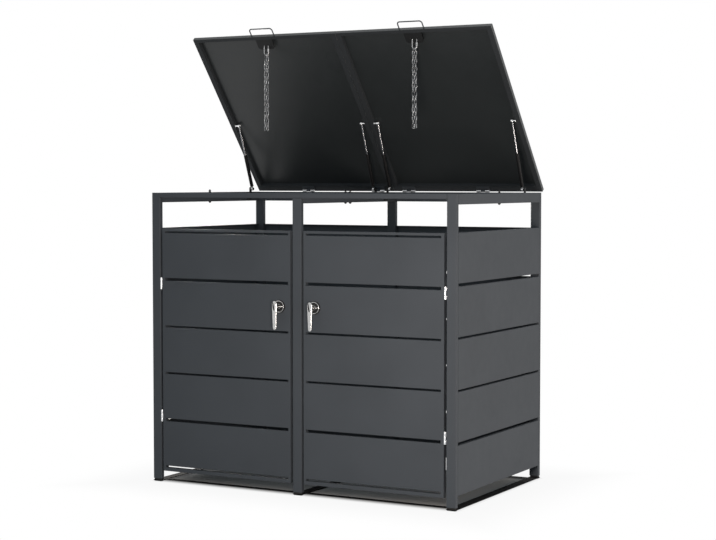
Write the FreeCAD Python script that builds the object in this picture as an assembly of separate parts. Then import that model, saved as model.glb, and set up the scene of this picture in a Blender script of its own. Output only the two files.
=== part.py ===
import FreeCAD, Part
import math
import os
from FreeCAD import Vector

# Wheelie bin store: a steel frame with slatted sides and back, two slatted doors with turning
# levers, and two lids on gas struts, each with a chain that hangs from a quick link.
# X runs along the front, Y from the front to the back and Z up. The origin is on the ground, in
# the middle of the frame's footprint. The doors are shut, the levers hang down and the lids are
# up. Lengths are in millimetres and angles in degrees.

# Frame
store_width = 1380.0
store_depth = 820.0
post_height = 1178.0
post_width = 40.0
post_depth = 20.0
rail_height = 40.0
rail_thickness = 20.0
front_rail_height = 20.0
middle_rail_width = 40.0
tube_wall = 1.5
tube_corner = 2.0

# Feet and floor strips
pad_thickness = 2.5
strip_thickness = 3.0
collar_height = 6.5
collar_inset = 2.0
cross_strip_width = 15.0
cross_strip_set_back = 36.0

# Slatted side and rear panels
panel_gaps = (12.0, 8.0, 8.0, 12.0)
panel_lift = 43.0
panel_window = 105.0
slat_sheet = 1.2
slat_return = 15.0
slat_fold = 1.5

# Doors
door_lift = 34.0
door_window = 127.0
door_hinge_gap = 10.0
door_latch_gap = 10.0
door_thickness = 20.0
hinge_stile = 13.0
latch_stile = 10.0
door_top_bar = 10.0
door_bottom_bar = 14.0
door_slots = (8.0, 12.0, 8.0, 8.0, 12.0, 8.0)
door_sheet = 1.5

# Butt hinges
knuckle_radius = 4.5
pin_radius = 2.5
pin_clearance = 0.05
knuckle_gap = 0.4
leaf_thickness = 1.5
leaf_width = 18.0
leaf_clearance = 1.0
door_hinge_length = 48.0
door_hinge_from_bottom = 228.0
door_hinge_from_top = 224.0
lid_hinge_length = 60.0
lid_hinge_from_middle = 75.0
lid_hinge_from_side = 265.0
lid_leaf_height = 34.0
lid_leaf_front = 19.0
lid_leaf_rear = 6.0
lid_leaf_sink = 0.5

# Lever locks
lock_from_top = 299.0
lock_from_edge = 50.0
rosette_radius = 26.0
rosette_thickness = 8.0
rosette_edge = 3.0
lock_body_radius = 9.0
lock_body_clearance = 0.3
lock_nut_radius = 14.0
lock_nut_thickness = 4.0
spindle_radius = 5.0
spindle_clearance = 0.08
stem_radius = 8.0
stem_gap = 0.4
lever_stand_off = 31.0
lever_thickness = 10.0
lever_head_radius = 12.0
lever_head_rise = 12.0
lever_tip_radius = 8.0
lever_tip_drop = 82.0
lever_edge = 2.0
keyhole_radius = 5.0
keyhole_depth = 2.0
cam_length = 72.0
cam_width = 16.0
cam_thickness = 3.0
cam_gap = 0.5
cam_nut_radius = 8.0
cam_nut_thickness = 4.0

# Lids
lid_seam = 1.0
lid_thickness = 18.0
lid_lift = 12.0
lid_rear_overhang = 10.0
lid_sheet = 1.2
lid_side_lip = 21.5
lid_front_lip = 15.0
lid_rear_lip = 30.0
lid_fold = 2.0
lid_open_angle = 50.5
hinge_set_back = 2.0
hinge_rise = 6.0

# Lid buffers
buffer_radius = 6.5
buffer_head = 6.0
buffer_stud_radius = 3.0
buffer_hole_clearance = 0.2
buffer_nut_radius = 5.5
buffer_nut_height = 4.0
buffer_tail = 2.0
buffer_from_front = 413.0
buffer_from_middle = 11.0

# Gas struts
strut_from_rail = 19.0
strut_pivot_from_rear = 109.0
strut_pivot_rise = 13.0
strut_ball_from_rear = 367.0
strut_ball_drop = 13.0
eye_radius = 7.0
eye_width = 8.0
eye_pin_radius = 4.0
eye_pin_clearance = 0.1
eye_side_gap = 0.3
eye_head_radius = 5.5
eye_head_thickness = 1.7
barrel_radius = 7.5
barrel_end = 158.0
barrel_start = 12.0
barrel_wall = 1.5
barrel_base = 4.0
barrel_guide = 14.0
neck_radius = 3.4
rod_radius = 3.0
rod_clearance = 0.1
rod_length = 228.0
piston_length = 8.0
piston_clearance = 0.3
bracket_thickness = 3.0
bracket_width = 30.0
bracket_foot = 32.0
bracket_edge = 3.0
bracket_stand_off = 7.0
bracket_crown = 8.0
open_pivot_gap = 0.5
lid_stud_base_radius = 6.0
lid_stud_base_thickness = 2.0

# Bail handles and hook tabs
handle_width = 108.0
handle_reach = 37.0
handle_wire_radius = 2.5
handle_corner = 11.0
handle_drop = 11.0
tab_width = 78.0
tab_length = 48.0
tab_thickness = 2.5
tab_flange = 12.0
tab_corner = 8.0
hook_from_front = 50.0
hook_slot_width = 7.0
hook_slot_length = 13.0

# Quick links and chains
quick_link_width = 24.5
quick_link_length = 49.5
quick_link_wire = 4.5
quick_link_nut_radius = 4.6
quick_link_nut_length = 14.0
quick_link_nut_drop = 4.0
chain_wire = 2.8
chain_link_width = 11.0
chain_pitch = 16.0
chain_play = 0.3
chain_bend_play = 0.2
chain_end_height = 3.0
chain_seat_clearance = 0.1
strand_spacing = 11.5
strand_links = 20
tail_links = 9
tail_leans = (38.0, 6.0)

# Flats around a turned piece
hexagon_sides = 6
small_round_sides = 8
large_round_sides = 12
eye_sides = 10
wire_sides = 8
chain_wire_sides = 4
link_corners = 8
strut_sides = 10
plate_end_steps = 6
direction_tolerance = 0.001

# Heights and places that follow from the sizes above
front = -store_depth / 2
rear = store_depth / 2
side = store_width / 2
middle = post_width / 2
post_bottom = pad_thickness + strip_thickness + collar_height
frame_top = post_bottom + post_height
lip_plane = frame_top + lid_lift
lid_top = lip_plane + lid_thickness
lid_rear = rear + lid_rear_overhang
lid_front = front
lid_inner = lid_seam / 2
lid_axis_y = rear + hinge_set_back
lid_axis_z = frame_top + hinge_rise
side_rail_face = side - rail_thickness
middle_rail_face = middle_rail_width / 2
slat_count = len(panel_gaps) + 1
slats_top = frame_top - rail_height - panel_window
slats_bottom = post_bottom + panel_lift
slat_height = (slats_top - slats_bottom - sum(panel_gaps)) / slat_count
door_outer = side - post_width - door_hinge_gap
door_inner = middle + door_latch_gap
door_bottom = post_bottom + door_lift
door_top = frame_top - front_rail_height - door_window
door_axis_x = door_outer + door_hinge_gap / 2
lock_x = door_inner + lock_from_edge
lock_z = door_top - lock_from_top
handle_middle = side / 2
pivot_y = rear - strut_pivot_from_rear
pivot_z = frame_top + strut_pivot_rise
hook_y = lid_front + hook_from_front
hook_z = lip_plane + tab_thickness / 2

X_AXIS = Vector(1, 0, 0)
Y_AXIS = Vector(0, 1, 0)
Z_AXIS = Vector(0, 0, 1)


def block(x, y, z):
    """Box between three pairs of limits."""
    corner = Vector(min(x), min(y), min(z))
    return Part.makeBox(abs(x[1] - x[0]), abs(y[1] - y[0]), abs(z[1] - z[0]), corner)


def skinned(rings, closed):
    """Solid over rings of points; a closed one joins its last ring to its first."""
    count, sides = len(rings), len(rings[0])
    faces = []
    for index in range(count if closed else count - 1):
        here, there = rings[index], rings[(index + 1) % count]
        for corner in range(sides):
            other = (corner + 1) % sides
            faces.append([here[corner], here[other], there[other], there[corner]])
    if not closed:
        faces += [rings[0], rings[-1]]
    shell = Part.makeShell([Part.Face(Part.makePolygon(face + [face[0]])) for face in faces])
    shell.sewShape()
    solid = Part.Solid(shell)
    return solid if solid.Volume > 0 else solid.reversed()


def turned(start, axis, profile, sides, bored=False):
    """Faceted turning from distances along an axis and radii; a bored one's profile is a loop."""
    across = X_AXIS if abs(axis.dot(Z_AXIS)) > 0.5 else Z_AXIS
    across = (across - axis * across.dot(axis)).normalize()
    third = axis.cross(across)
    rings = []
    for distance, radius in profile:
        ring = []
        for corner in range(sides):
            angle = 2 * math.pi * (corner + 0.5) / sides
            spoke = across * math.cos(angle) + third * math.sin(angle)
            ring.append(start + axis * distance + spoke * radius)
        rings.append(ring)
    return skinned(rings, bored)


def round_bar(start, end, radius, sides=small_round_sides):
    """Bar whose corners lie at the radius."""
    axis = (end - start).normalize()
    return turned(start, axis, [(0, radius), (start.distanceToPoint(end), radius)], sides)


def bore_radius(radius, sides):
    """Corner radius of a bore whose flats lie at the radius."""
    return radius / math.cos(math.pi / sides)


def bore(start, end, radius, sides=small_round_sides):
    return round_bar(start, end, bore_radius(radius, sides), sides)


def hexagon_bar(start, end, radius):
    return round_bar(start, end, radius, hexagon_sides)


def collar(start, end, radius, inner_radius, sides=small_round_sides):
    """Bored ring between two points."""
    axis = (end - start).normalize()
    length = start.distanceToPoint(end)
    inner = bore_radius(inner_radius, sides)
    loop = [(0, inner), (0, radius), (length, radius), (length, inner)]
    return turned(start, axis, loop, sides, True)


def edges_along(shape, axis):
    """Straight edges that run along an axis."""
    return [edge for edge in shape.Edges
            if 1 - abs(edge.tangentAt(edge.FirstParameter).dot(axis)) < direction_tolerance]


def face_towards(shape, direction):
    """The flat face that looks in a direction."""
    return [face for face in shape.Faces
            if 1 - face.normalAt(0, 0).dot(direction) < direction_tolerance][0]


def mirrored(shape):
    return shape.mirror(Vector(0, 0, 0), X_AXIS)


def on_side(shape, side_name):
    """The shape as built for the right-hand side, or its mirror image for the left."""
    return shape if side_name == "right" else mirrored(shape)


def fused(shapes):
    return shapes[0].multiFuse(shapes[1:]).removeSplitter()


def group(shapes):
    return Part.makeCompound(shapes)


def tube(x, y, z, axis, end_plate=0.0):
    """Square tube along an axis with rounded corners; an end plate closes its far end."""
    outer = block(x, y, z)
    outer = outer.makeChamfer(tube_corner, edges_along(outer, axis))
    hollow = []
    for limits, along in zip((x, y, z), axis):
        if along:
            hollow.append((limits[0], limits[1] - end_plate))
        else:
            hollow.append((limits[0] + tube_wall, limits[1] - tube_wall))
    return outer.cut(block(*hollow))


def tray(x, y, z, facing, fold_along):
    """Folded sheet slat: a shallow tray whose floor faces outwards and whose rim faces inwards."""
    outer = block(x, y, z)
    outer = outer.makeChamfer(slat_fold, edges_along(face_towards(outer, facing), fold_along))
    hollow = []
    for limits, outward in zip((x, y, z), facing):
        low, high = limits[0] + slat_sheet, limits[1] - slat_sheet
        if outward > 0:
            low = limits[0]
        if outward < 0:
            high = limits[1]
        hollow.append((low, high))
    return outer.cut(block(*hollow))


def bent_bar(points, normal, radius, sides, closed):
    """Bar of polygonal section along a flat path of straight runs, mitred where they meet."""
    count = len(points)
    rings = []
    for index, point in enumerate(points):
        runs = []
        if closed or index > 0:
            runs.append((point - points[index - 1]).normalize())
        if closed or index < count - 1:
            runs.append((points[(index + 1) % count] - point).normalize())
        outward = [normal.cross(run) for run in runs]
        mitre = outward[0] + outward[-1]
        mitre = mitre * (1 / (1 + outward[0].dot(outward[-1])))
        ring = []
        for corner in range(sides):
            angle = 2 * math.pi * corner / sides
            ring.append(point + mitre * (radius * math.cos(angle)) + normal * (radius * math.sin(angle)))
        rings.append(ring)
    return skinned(rings, closed)


def oval(half_width, half_length):
    """Corners of an upright oval in the XZ plane; its round ends are half octagons."""
    half_step = math.pi / link_corners
    reach = half_width / math.cos(half_step)
    corners = []
    for number in range(link_corners):
        angle = half_step * (2 * number + 1)
        rise = half_length - half_width if math.sin(angle) > 0 else half_width - half_length
        corners.append(Vector(reach * math.cos(angle), 0, reach * math.sin(angle) + rise))
    return corners


def opened(shape):
    """A lid piece, built as it lies when shut, swung up about the lid's hinge."""
    shape = shape.copy()
    shape.rotate(Vector(0, lid_axis_y, lid_axis_z), X_AXIS, -lid_open_angle)
    return shape


def opened_point(y, z):
    turn = FreeCAD.Rotation(X_AXIS, -lid_open_angle)
    axis = Vector(0, lid_axis_y, lid_axis_z)
    return axis + turn.multVec(Vector(0, y, z) - axis)


# Frame

def post(x_middle, at_rear):
    x = (x_middle - post_width / 2, x_middle + post_width / 2)
    y = (rear - post_depth, rear) if at_rear else (front, front + post_depth)
    top = frame_top
    if x_middle == 0:
        top = frame_top - (rail_height if at_rear else front_rail_height)
    return tube(x, y, (post_bottom, top), Z_AXIS, tube_wall)


def front_rail():
    x = (post_width - side, side - post_width)
    return tube(x, (front, front + post_depth), (frame_top - front_rail_height, frame_top), X_AXIS)


def rear_rail():
    x = (post_width - side, side - post_width)
    return tube(x, (rear - post_depth, rear), (frame_top - rail_height, frame_top), X_AXIS)


def long_rail(x):
    """Rail from the front to the back, bored for its lid buffers."""
    rail = tube(x, (front + post_depth, rear - post_depth), (frame_top - rail_height, frame_top), Y_AXIS)
    for place in buffer_places():
        if min(x) < place < max(x):
            hole = bore(Vector(place, front + buffer_from_front, frame_top - rail_height),
                        Vector(place, front + buffer_from_front, frame_top),
                        buffer_stud_radius + buffer_hole_clearance)
            rail = rail.cut(hole)
    return rail


def runner_middles():
    return (post_width / 2 - side, 0.0, side - post_width / 2)


def floor_runners():
    z = (pad_thickness, pad_thickness + strip_thickness)
    return group([block((x - post_width / 2, x + post_width / 2), (front, rear), z)
                  for x in runner_middles()])


def floor_cross_strips():
    """Strips between the runners, near the front and the back."""
    z = (pad_thickness, pad_thickness + strip_thickness)
    near = front + cross_strip_set_back
    far = rear - cross_strip_set_back
    strips = []
    for x in ((post_width - side, -middle), (middle, side - post_width)):
        strips.append(block(x, (near, near + cross_strip_width), z))
        strips.append(block(x, (far - cross_strip_width, far), z))
    return group(strips)


def levelling_feet():
    """Plastic collar between each post and its runner, and the pad below the runner."""
    pieces = []
    for x_middle in runner_middles():
        x = (x_middle - post_width / 2 + collar_inset, x_middle + post_width / 2 - collar_inset)
        for y_front in (front, rear - post_depth):
            y = (y_front + collar_inset, y_front + post_depth - collar_inset)
            for z in ((0, pad_thickness), (post_bottom - collar_height, post_bottom)):
                foot = block(x, y, z)
                pieces.append(foot.makeChamfer(tube_corner, edges_along(foot, Z_AXIS)))
    return group(pieces)


def panel_slat_heights():
    """Lower and upper edge of each slat of a side or rear panel."""
    heights = []
    bottom = slats_bottom
    for gap in tuple(reversed(panel_gaps)) + (0.0,):
        heights.append((bottom, bottom + slat_height))
        bottom += slat_height + gap
    return heights


def side_slats():
    y = (front + post_depth, rear - post_depth)
    return group([tray((side - slat_return, side), y, z, X_AXIS, Y_AXIS) for z in panel_slat_heights()])


def rear_slats():
    x = (middle, side - post_width)
    return group([tray(x, (rear - slat_return, rear), z, Y_AXIS, X_AXIS) for z in panel_slat_heights()])


def buffer_places():
    outer = side - rail_thickness / 2
    return (-outer, -buffer_from_middle, buffer_from_middle, outer)


def lid_buffers():
    """Rubber-headed stud through each rail, with a nut above and below it."""
    buffers = []
    y = front + buffer_from_front
    underside = frame_top - rail_height
    for x in buffer_places():
        def at(z):
            return Vector(x, y, z)
        stud = round_bar(at(underside - buffer_nut_height - buffer_tail), at(lip_plane), buffer_stud_radius)
        lower_nut = hexagon_bar(at(underside - buffer_nut_height), at(underside), buffer_nut_radius)
        upper_nut = hexagon_bar(at(frame_top), at(frame_top + buffer_nut_height), buffer_nut_radius)
        head = round_bar(at(lip_plane - buffer_head), at(lip_plane), buffer_radius)
        buffers.append(fused([stud, lower_nut, upper_nut, head]))
    return group(buffers)


# Doors, built for the right-hand side

def door_frame():
    """Rim of folded channel, open at the back."""
    x, z = (door_inner, door_outer), (door_bottom, door_top)
    window_x = (x[0] + latch_stile, x[1] - hinge_stile)
    window_z = (z[0] + door_bottom_bar, z[1] - door_top_bar)
    y = (front, front + door_thickness)
    rim = block(x, y, z).cut(block(window_x, y, window_z))
    channel_y = (front + door_sheet, front + door_thickness)
    channel = block((x[0] + door_sheet, x[1] - door_sheet), channel_y, (z[0] + door_sheet, z[1] - door_sheet))
    core = block((window_x[0] - door_sheet, window_x[1] + door_sheet), channel_y,
                 (window_z[0] - door_sheet, window_z[1] + door_sheet))
    return rim.cut(channel.cut(core))


def door_slats():
    x = (door_inner + latch_stile, door_outer - hinge_stile)
    spare = door_top - door_top_bar - door_bottom - door_bottom_bar - sum(door_slots)
    height = spare / (len(door_slots) - 1)
    lock_hole = bore(lock_point(0), lock_point(door_thickness), lock_body_radius + lock_body_clearance,
                     large_round_sides)
    slats = []
    top = door_top - door_top_bar
    for slot in door_slots[:-1]:
        top -= slot
        slat = tray(x, (front, front + slat_return), (top - height, top), -Y_AXIS, X_AXIS)
        slats.append(slat.cut(lock_hole))
        top -= height
    return group(slats)


def knuckle_spans(length):
    """Three knuckles of a hinge: the outer two are fixed and the middle one moves."""
    third = length / 3
    half_gap = knuckle_gap / 2
    fixed = [(-length / 2, -third / 2 - half_gap), (third / 2 + half_gap, length / 2)]
    moving = (-third / 2 + half_gap, third / 2 - half_gap)
    return fixed, moving


def knuckle(start, end):
    return collar(start, end, knuckle_radius, pin_radius + pin_clearance)


def door_hinge(z_middle):
    """Fixed leaf with its pin, and the leaf that moves with the door, either side of one gap."""
    length = door_hinge_length
    fixed_spans, moving_span = knuckle_spans(length)
    clear = knuckle_radius + leaf_clearance
    whole_z = (z_middle - length / 2, z_middle + length / 2)
    post_face = side - post_width

    def at(z):
        return Vector(door_axis_x, front, z_middle + z)

    def relief(span):
        return block((door_outer, post_face), (front, front + clear), (z_middle + span[0], z_middle + span[1]))

    fixed = block((post_face - leaf_thickness, post_face), (front, front + leaf_width), whole_z)
    third = length / 6 + knuckle_gap / 2
    fixed = fixed.cut(relief((-third, third)))
    fixed = fused([fixed] + [knuckle(at(span[0]), at(span[1])) for span in fixed_spans])
    moving = block((door_outer, door_outer + leaf_thickness), (front, front + leaf_width), whole_z)
    for span in ((-length / 2, moving_span[0]), (moving_span[1], length / 2)):
        moving = moving.cut(relief(span))
    moving = fused([moving, knuckle(at(moving_span[0]), at(moving_span[1]))])
    pin = round_bar(at(-length / 2), at(length / 2), pin_radius)
    return fixed, moving, pin


def door_hinges():
    """Fixed group and moving group of one door's hinges."""
    fixed, moving = [], []
    for height in (door_bottom + door_hinge_from_bottom, door_top - door_hinge_from_top):
        fixed_leaf, moving_leaf, pin = door_hinge(height)
        fixed += [fixed_leaf, pin]
        moving.append(moving_leaf)
    return group(fixed), group(moving)


def lock_point(y):
    return Vector(lock_x, front + y, lock_z)


def lock_rosette():
    """Round plate on the door, its barrel through the slat and the nut behind the slat."""
    body_end = door_thickness - 2 * cam_gap
    sides = large_round_sides
    inner = bore_radius(spindle_radius + spindle_clearance, sides)
    loop = [(-rosette_thickness, inner), (-rosette_thickness, rosette_radius - rosette_edge),
            (-rosette_thickness + rosette_edge, rosette_radius), (0, rosette_radius),
            (0, lock_body_radius), (body_end, lock_body_radius), (body_end, inner)]
    rosette = turned(lock_point(0), Y_AXIS, loop, sides, True)
    nut = collar(lock_point(slat_sheet), lock_point(slat_sheet + lock_nut_thickness), lock_nut_radius,
                 lock_body_radius + spindle_clearance, sides)
    return group([rosette, nut])


def tapered_plate(big_radius, big_z, small_radius, small_z, y_front, thickness):
    """Plate in the XZ plane around two circles, one above the other, joined by their tangents."""
    lean = math.asin((big_radius - small_radius) / abs(big_z - small_z))
    outward = 1 if big_z > small_z else -1
    outline = []
    for radius, z, first, last in ((big_radius, big_z, math.pi - lean, lean),
                                   (small_radius, small_z, lean, lean - math.pi)):
        if z == small_z:
            last = -math.pi - lean
        for step in range(plate_end_steps + 1):
            angle = first + (last - first) * step / plate_end_steps
            outline.append(Vector(lock_x + radius * math.cos(angle), y_front,
                                  lock_z + z + outward * radius * math.sin(angle)))
    return Part.Face(Part.makePolygon(outline + [outline[0]])).extrude(Y_AXIS * thickness)


def lock_lever():
    """Tapered lever with a keyhole recess, its stem and the spindle that turns the cam."""
    back = -lever_stand_off
    blade_front = front + back - lever_thickness
    blade = tapered_plate(lever_head_radius, lever_head_rise, lever_tip_radius, -lever_tip_drop,
                          blade_front, lever_thickness)
    front_edges = [edge for edge in blade.Edges if edge.BoundBox.YMax < blade_front + lever_edge]
    blade = blade.makeChamfer(lever_edge, front_edges)
    keyhole = lock_point(back - lever_thickness) + Z_AXIS * lever_head_rise
    blade = blade.cut(round_bar(keyhole, keyhole + Y_AXIS * keyhole_depth, keyhole_radius))
    stem_end = -rosette_thickness - stem_gap
    cam_nut_end = door_thickness + cam_gap + cam_thickness + cam_nut_thickness
    shaft = turned(lock_point(0), Y_AXIS, [(back, stem_radius), (stem_end, stem_radius),
                                           (stem_end, spindle_radius), (cam_nut_end, spindle_radius)],
                   large_round_sides)
    return fused([blade, shaft])


def lock_cam():
    """Flat cam behind the door, standing up, with the nut that holds it on the spindle."""
    cam_front = door_thickness + cam_gap
    half = cam_width / 2
    cam = tapered_plate(half, 0, half, cam_length - half, front + cam_front, cam_thickness)
    whole = cam_front + cam_thickness + cam_nut_thickness
    hole_radius = spindle_radius + spindle_clearance
    hole = bore(lock_point(cam_front), lock_point(whole), hole_radius)
    nut = collar(lock_point(cam_front + cam_thickness), lock_point(whole), cam_nut_radius, hole_radius)
    return group([cam.cut(hole), nut])


# Lids, built shut for the right-hand side and then opened

def lid_cover():
    """Top sheet with its four sides folded down."""
    x, y, z = (lid_inner, side), (lid_front, lid_rear), (lip_plane, lid_top)
    outer = block(x, y, z)
    outer = outer.makeChamfer(lid_fold, face_towards(outer, Z_AXIS).Edges)
    inside = block((x[0] + lid_sheet, x[1] - lid_sheet), (y[0] + lid_sheet, y[1] - lid_sheet),
                   (z[0], z[1] - lid_sheet))
    return outer.cut(inside)


def lid_edge_frame():
    """Channel inside the lid's rim: a lip level with the rim's lower edge and an upstand."""
    sheet = lid_sheet
    x, y = (lid_inner + sheet, side - sheet), (lid_front + sheet, lid_rear - sheet)
    z = (lip_plane, lid_top - sheet)
    window_x = (lid_inner + lid_side_lip, side - lid_side_lip)
    window_y = (lid_front + lid_front_lip, lid_rear - lid_rear_lip)
    ring = block(x, y, z).cut(block(window_x, window_y, z))
    groove_z = (z[0] + sheet, z[1])
    wall_x = (window_x[0] - sheet, window_x[1] + sheet)
    wall_y = (window_y[0] - sheet, window_y[1] + sheet)
    groove = block(x, y, groove_z).cut(block(wall_x, wall_y, groove_z))
    return ring.cut(groove)


def lid_hinge(x_middle):
    """Fixed leaf on the rear rail, the leaf under the lid's rear lip, and their pin."""
    length = lid_hinge_length
    fixed_spans, moving_span = knuckle_spans(length)
    clear = knuckle_radius + leaf_clearance
    whole_x = (x_middle - length / 2, x_middle + length / 2)

    def at(x):
        return Vector(x_middle + x, lid_axis_y, lid_axis_z)

    top = lid_axis_z - knuckle_radius + leaf_thickness
    fixed = block(whole_x, (rear, rear + leaf_thickness), (frame_top - lid_leaf_height, top))
    third = length / 6 + knuckle_gap / 2
    fixed = fixed.cut(block((x_middle - third, x_middle + third), (rear, rear + leaf_thickness),
                            (lid_axis_z - knuckle_radius - lid_leaf_sink, top)))
    fixed = fused([fixed] + [knuckle(at(span[0]), at(span[1])) for span in fixed_spans])
    leaf_bottom = lid_axis_z + knuckle_radius - lid_leaf_sink
    leaf_y = (lid_axis_y - lid_leaf_front, lid_axis_y + lid_leaf_rear)
    moving = block(whole_x, leaf_y, (leaf_bottom, lip_plane))
    for span in ((-length / 2, moving_span[0]), (moving_span[1], length / 2)):
        moving = moving.cut(block((x_middle + span[0], x_middle + span[1]),
                                  (lid_axis_y - clear, leaf_y[1]), (leaf_bottom, lip_plane)))
    moving = fused([moving, knuckle(at(moving_span[0]), at(moving_span[1]))])
    pin = round_bar(at(-length / 2), at(length / 2), pin_radius)
    return fixed, opened(moving), pin


def lid_hinges():
    """Fixed group and moving group of one lid's hinges."""
    fixed, moving = [], []
    for place in (lid_hinge_from_middle, side - lid_hinge_from_side):
        fixed_leaf, moving_leaf, pin = lid_hinge(place)
        fixed += [fixed_leaf, pin]
        moving.append(moving_leaf)
    return group(fixed), group(moving)


def bail_handle():
    """Wire handle on the lid's front edge; its corners are bent in two equal steps."""
    z = lid_top - handle_drop
    half = handle_width / 2
    reach = lid_front - handle_reach + handle_wire_radius
    cut = handle_corner * (1 - math.sin(math.pi / 4))
    corner = handle_corner
    right = [(half, lid_front), (half, reach + corner), (half - cut, reach + cut), (half - corner, reach)]
    outline = right + [(-x, y) for x, y in reversed(right)]
    points = [Vector(handle_middle + x, y, z) for x, y in outline]
    return opened(bent_bar(points, Z_AXIS, handle_wire_radius, wire_sides, False))


def hook_tab():
    """Folded plate behind the lid's front lip, with two slots for the quick link."""
    wall = lid_front + lid_front_lip
    x = (handle_middle - tab_width / 2, handle_middle + tab_width / 2)
    plate = block(x, (wall, wall + tab_length), (lip_plane, lip_plane + tab_thickness))
    rear_corners = [edge for edge in edges_along(plate, Z_AXIS) if edge.BoundBox.YMin > wall + tab_length / 2]
    plate = plate.makeChamfer(tab_corner, rear_corners)
    flange = block(x, (wall, wall + tab_thickness), (lip_plane, lip_plane + tab_flange))
    tab = fused([plate, flange])
    half = quick_link_width / 2 - quick_link_wire / 2
    for offset in (-half, half):
        middle_x = handle_middle + offset
        tab = tab.cut(block((middle_x - hook_slot_width / 2, middle_x + hook_slot_width / 2),
                            (hook_y - hook_slot_length / 2, hook_y + hook_slot_length / 2),
                            (lip_plane, lip_plane + tab_thickness)))
    return opened(tab)


# Gas struts, built for a rail whose face is at X = 0 with the strut on its positive side

def strut_places():
    """Name, face of the carrying rail, inboard direction and edge of the lid's lip."""
    outer_wall, inner_wall = side - lid_side_lip, lid_inner + lid_side_lip
    return (("left_outer", -side_rail_face, 1, -outer_wall),
            ("left_inner", -middle_rail_face, -1, -inner_wall),
            ("right_inner", middle_rail_face, 1, inner_wall),
            ("right_outer", side_rail_face, -1, outer_wall))


def at_rail(shape, face, direction):
    """A strut piece moved from X = 0 to its own rail."""
    placed = shape if direction > 0 else mirrored(shape)
    placed = placed.copy()
    placed.translate(Vector(face, 0, 0))
    return placed


def strut_direction():
    ball = opened_point(lid_rear - strut_ball_from_rear, lid_top - strut_ball_drop)
    return (ball - Vector(0, pivot_y, pivot_z)).normalize()


def strut_length():
    ball = opened_point(lid_rear - strut_ball_from_rear, lid_top - strut_ball_drop)
    return (ball - Vector(0, pivot_y, pivot_z)).Length


def along_strut(distance):
    return Vector(strut_from_rail, pivot_y, pivot_z) + strut_direction() * distance


def eye(distance):
    """Ring at an end of the strut; the other piece of its pivot passes through it."""
    half = X_AXIS * (eye_width / 2)
    middle_point = along_strut(distance)
    return round_bar(middle_point - half, middle_point + half, eye_radius, eye_sides)


def eye_bore(distance):
    half = X_AXIS * (eye_width / 2)
    middle_point = along_strut(distance)
    return bore(middle_point - half, middle_point + half, eye_pin_radius + eye_pin_clearance, eye_sides)


def strut_barrel():
    """Closed cylinder with a guide for the rod, a neck and the lower eye."""
    sides = strut_sides
    chamber = barrel_radius - barrel_wall
    guide = bore_radius(rod_radius + rod_clearance, sides)
    guide_start = barrel_end - barrel_guide
    outline = [(0, neck_radius), (barrel_start, neck_radius), (barrel_start, barrel_radius),
               (barrel_end, barrel_radius), (barrel_end, guide), (guide_start, guide),
               (guide_start, chamber), (barrel_start + barrel_base, chamber)]
    barrel = turned(along_strut(0), strut_direction(), outline, sides)
    return fused([barrel, eye(0)]).cut(eye_bore(0))


def strut_rod():
    """Rod with the piston at its inner end and the upper eye."""
    length = strut_length()
    inner = length - rod_length
    piston_radius = barrel_radius - barrel_wall - piston_clearance
    outline = [(inner, piston_radius), (inner + piston_length, piston_radius),
               (inner + piston_length, rod_radius), (length, rod_radius)]
    rod = turned(along_strut(0), strut_direction(), outline, strut_sides)
    return fused([rod, eye(length)]).cut(eye_bore(length))


def strut_bracket():
    """Joggled plate on the rail's face, with the pin that the strut's lower eye turns on."""
    y = (pivot_y - bracket_width / 2, pivot_y + bracket_width / 2)
    top = frame_top - bracket_edge
    upright_x = (bracket_stand_off, bracket_stand_off + bracket_thickness)
    foot = block((0, bracket_thickness), y, (top - bracket_foot, top))
    shelf = block((0, upright_x[1]), y, (top - bracket_thickness, top))
    crown_y = (pivot_y - bracket_crown, pivot_y + bracket_crown)
    upright = block(upright_x, crown_y, (top - bracket_thickness, pivot_z + bracket_crown))
    upper_corners = [edge for edge in edges_along(upright, X_AXIS) if edge.BoundBox.ZMin > pivot_z]
    upright = upright.makeChamfer(bracket_crown / 2, upper_corners)
    near = strut_from_rail - eye_width / 2 - eye_side_gap
    far = strut_from_rail + eye_width / 2 + eye_side_gap
    pin = turned(Vector(0, pivot_y, pivot_z), X_AXIS,
                 [(upright_x[0], eye_head_radius), (near, eye_head_radius), (near, eye_pin_radius),
                  (far, eye_pin_radius), (far, eye_head_radius), (far + eye_head_thickness, eye_head_radius)],
                 eye_sides)
    return fused([foot, shelf, upright, pin])


def lid_stud(lip_wall, face, direction):
    """Stud on the lid's upstand that ends just short of the strut's upper eye."""
    start = (lip_wall - face) * direction
    end = strut_from_rail - eye_width / 2 - open_pivot_gap
    y, z = lid_rear - strut_ball_from_rear, lid_top - strut_ball_drop
    base_end = start + lid_stud_base_thickness
    stud = turned(Vector(0, y, z), X_AXIS, [(start, lid_stud_base_radius), (base_end, lid_stud_base_radius),
                                            (base_end, eye_pin_radius), (end, eye_pin_radius)],
                  eye_sides)
    return opened(at_rail(stud, face, direction))


# Quick links and chains, built about the hook's slots with the link upright

def hook_point():
    point = opened_point(hook_y, hook_z)
    return Vector(handle_middle, point.y, point.z)


def quick_link_arc():
    """Radius of the quick link's round ends along the middle of its wire."""
    return (quick_link_width - quick_link_wire) / 2


def quick_link_lower_arc():
    """Height of the middle of the quick link's lower round end."""
    return hook_point().z - (quick_link_length - quick_link_wire - 2 * quick_link_arc())


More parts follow.
